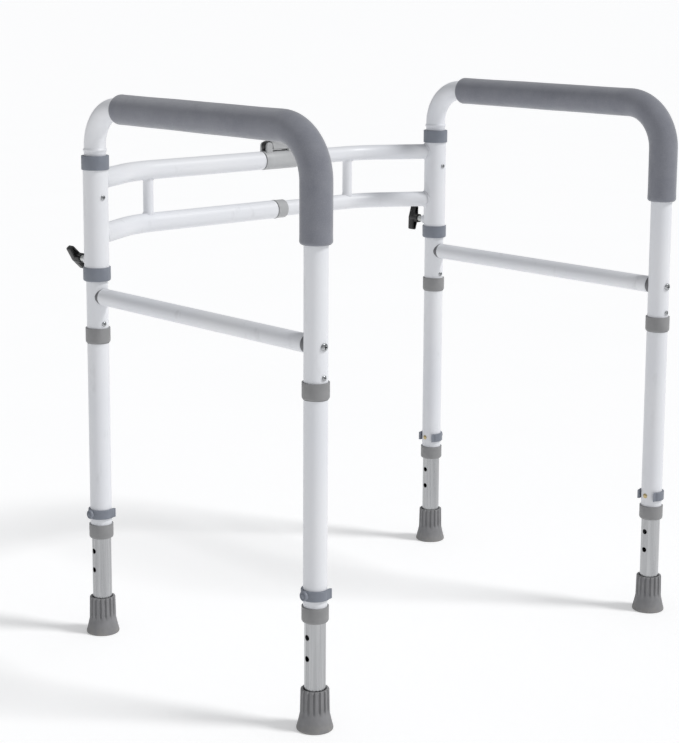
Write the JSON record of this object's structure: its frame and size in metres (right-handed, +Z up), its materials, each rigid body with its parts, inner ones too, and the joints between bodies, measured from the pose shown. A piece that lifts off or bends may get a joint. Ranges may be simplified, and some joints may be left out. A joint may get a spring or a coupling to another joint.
{
  "type": "toilet safety frame",
  "caption": "Free-standing frame with foam armrests that stands round a toilet: side frames that swivel in a width-adjustable rear bracket, on telescoping legs.",
  "frame": {"origin": "on the floor, at the middle of the frame's overall box", "axes": "+Z up, +Y to the rear rails, +X to the right rail's side"},
  "size_m": [0.655, 0.517, 0.712],
  "materials": {
    "white_powder_coat": "semi-gloss white powder coat on steel tube",
    "grip_foam": "closed-cell foam with a fine matt skin",
    "foot_rubber": "moulded grey rubber, matt",
    "satin_aluminium": "satin anodised",
    "blue_grey_plastic": "moulded blue-grey plastic",
    "grey_plastic": "moulded grey plastic",
    "black_plastic": "moulded black plastic",
    "zinc_steel": "zinc plated",
    "bare_steel": "bare steel tube",
    "inner_plastic": "moulded nylon",
    "pin_brass": "brass-coloured passivated pin"
  },
  "bodies": {
    "left_bracket": {"left_sleeve": "white_powder_coat", "left_sleeve_collars": "blue_grey_plastic", "left_sleeve_screw": "zinc_steel", "left_weld_nut": "white_powder_coat", "left_upper_rail": "white_powder_coat", "left_lower_rail": "white_powder_coat", "left_strut": "white_powder_coat", "lower_rail_collar": "grey_plastic", "clamp_body": "grey_plastic", "clamp_pin": "zinc_steel"},
    "right_bracket": {"right_sleeve": "white_powder_coat", "right_sleeve_collars": "blue_grey_plastic", "right_sleeve_screw": "zinc_steel", "right_weld_nut": "white_powder_coat", "right_upper_rail": "white_powder_coat", "right_lower_rail": "white_powder_coat", "right_strut": "white_powder_coat", "right_rail_plugs": "inner_plastic"},
    "clamp_lever": {"clamp_lever": "grey_plastic"},
    "left_knob": {"left_knob": "black_plastic", "left_knob_bolt": "zinc_steel"},
    "right_knob": {"right_knob": "black_plastic", "right_knob_bolt": "zinc_steel"},
    "left_frame": {"left_handrail_tube": "white_powder_coat", "left_foam_grip": "grip_foam", "left_side_rail": "white_powder_coat", "left_rail_saddles": "grey_plastic", "left_rail_inserts": "inner_plastic", "left_rail_screws": "zinc_steel", "left_joint_spigots": "bare_steel", "left_joint_collars": "grey_plastic", "left_joint_screws": "zinc_steel", "left_front_leg_tube": "white_powder_coat", "left_rear_leg_tube": "white_powder_coat", "left_bottom_collars": "grey_plastic", "left_lock_clips": "grey_plastic", "left_lock_pins": "pin_brass"},
    "right_frame": {"right_handrail_tube": "white_powder_coat", "right_foam_grip": "grip_foam", "right_side_rail": "white_powder_coat", "right_rail_saddles": "grey_plastic", "right_rail_inserts": "inner_plastic", "right_rail_screws": "zinc_steel", "right_joint_spigots": "bare_steel", "right_joint_collars": "grey_plastic", "right_joint_screws": "zinc_steel", "right_front_leg_tube": "white_powder_coat", "right_rear_leg_tube": "white_powder_coat", "right_bottom_collars": "grey_plastic", "right_lock_clips": "grey_plastic", "right_lock_pins": "pin_brass"},
    "left_front_foot": {"left_front_extension": "satin_aluminium", "left_front_foot": "foot_rubber"},
    "left_rear_foot": {"left_rear_extension": "satin_aluminium", "left_rear_foot": "foot_rubber"},
    "right_front_foot": {"right_front_extension": "satin_aluminium", "right_front_foot": "foot_rubber"},
    "right_rear_foot": {"right_rear_extension": "satin_aluminium", "right_rear_foot": "foot_rubber"}
  },
  "joints": [
    {"name": "width_slide", "type": "slide", "parent": "left_bracket", "child": "right_bracket", "axis": [1, 0, 0], "range_m": [-0.09, 0.06]},
    {"name": "clamp_lever_lift", "type": "hinge", "parent": "left_bracket", "child": "clamp_lever", "pos_m": [0.026, 0.245, 0.6205], "axis": [0, -1, 0], "range_deg": [0, 100]},
    {"name": "left_knob_turn", "type": "hinge", "parent": "left_bracket", "child": "left_knob", "pos_m": [-0.306, 0.187, 0.496], "axis": [0, 1, 0], "continuous": true},
    {"name": "right_knob_turn", "type": "hinge", "parent": "right_bracket", "child": "right_knob", "pos_m": [0.306, 0.187, 0.496], "axis": [0, 1, 0], "continuous": true},
    {"name": "left_swivel", "type": "hinge", "parent": "left_bracket", "child": "left_frame", "pos_m": [-0.306, 0.187, 0.55], "axis": [0, 0, 1], "range_deg": [-90, 30]},
    {"name": "right_swivel", "type": "hinge", "parent": "right_bracket", "child": "right_frame", "pos_m": [0.306, 0.187, 0.55], "axis": [0, 0, -1], "range_deg": [-90, 30]},
    {"name": "left_front_leg_slide", "type": "slide", "parent": "left_frame", "child": "left_front_foot", "axis": [0, 0, -1], "range_m": [-0.0762, 0.0762]},
    {"name": "left_rear_leg_slide", "type": "slide", "parent": "left_frame", "child": "left_rear_foot", "axis": [0, 0, -1], "range_m": [-0.0762, 0.0762]},
    {"name": "right_front_leg_slide", "type": "slide", "parent": "right_frame", "child": "right_front_foot", "axis": [0, 0, -1], "range_m": [-0.0762, 0.0762]},
    {"name": "right_rear_leg_slide", "type": "slide", "parent": "right_frame", "child": "right_rear_foot", "axis": [0, 0, -1], "range_m": [-0.0762, 0.0762]}
  ]
}
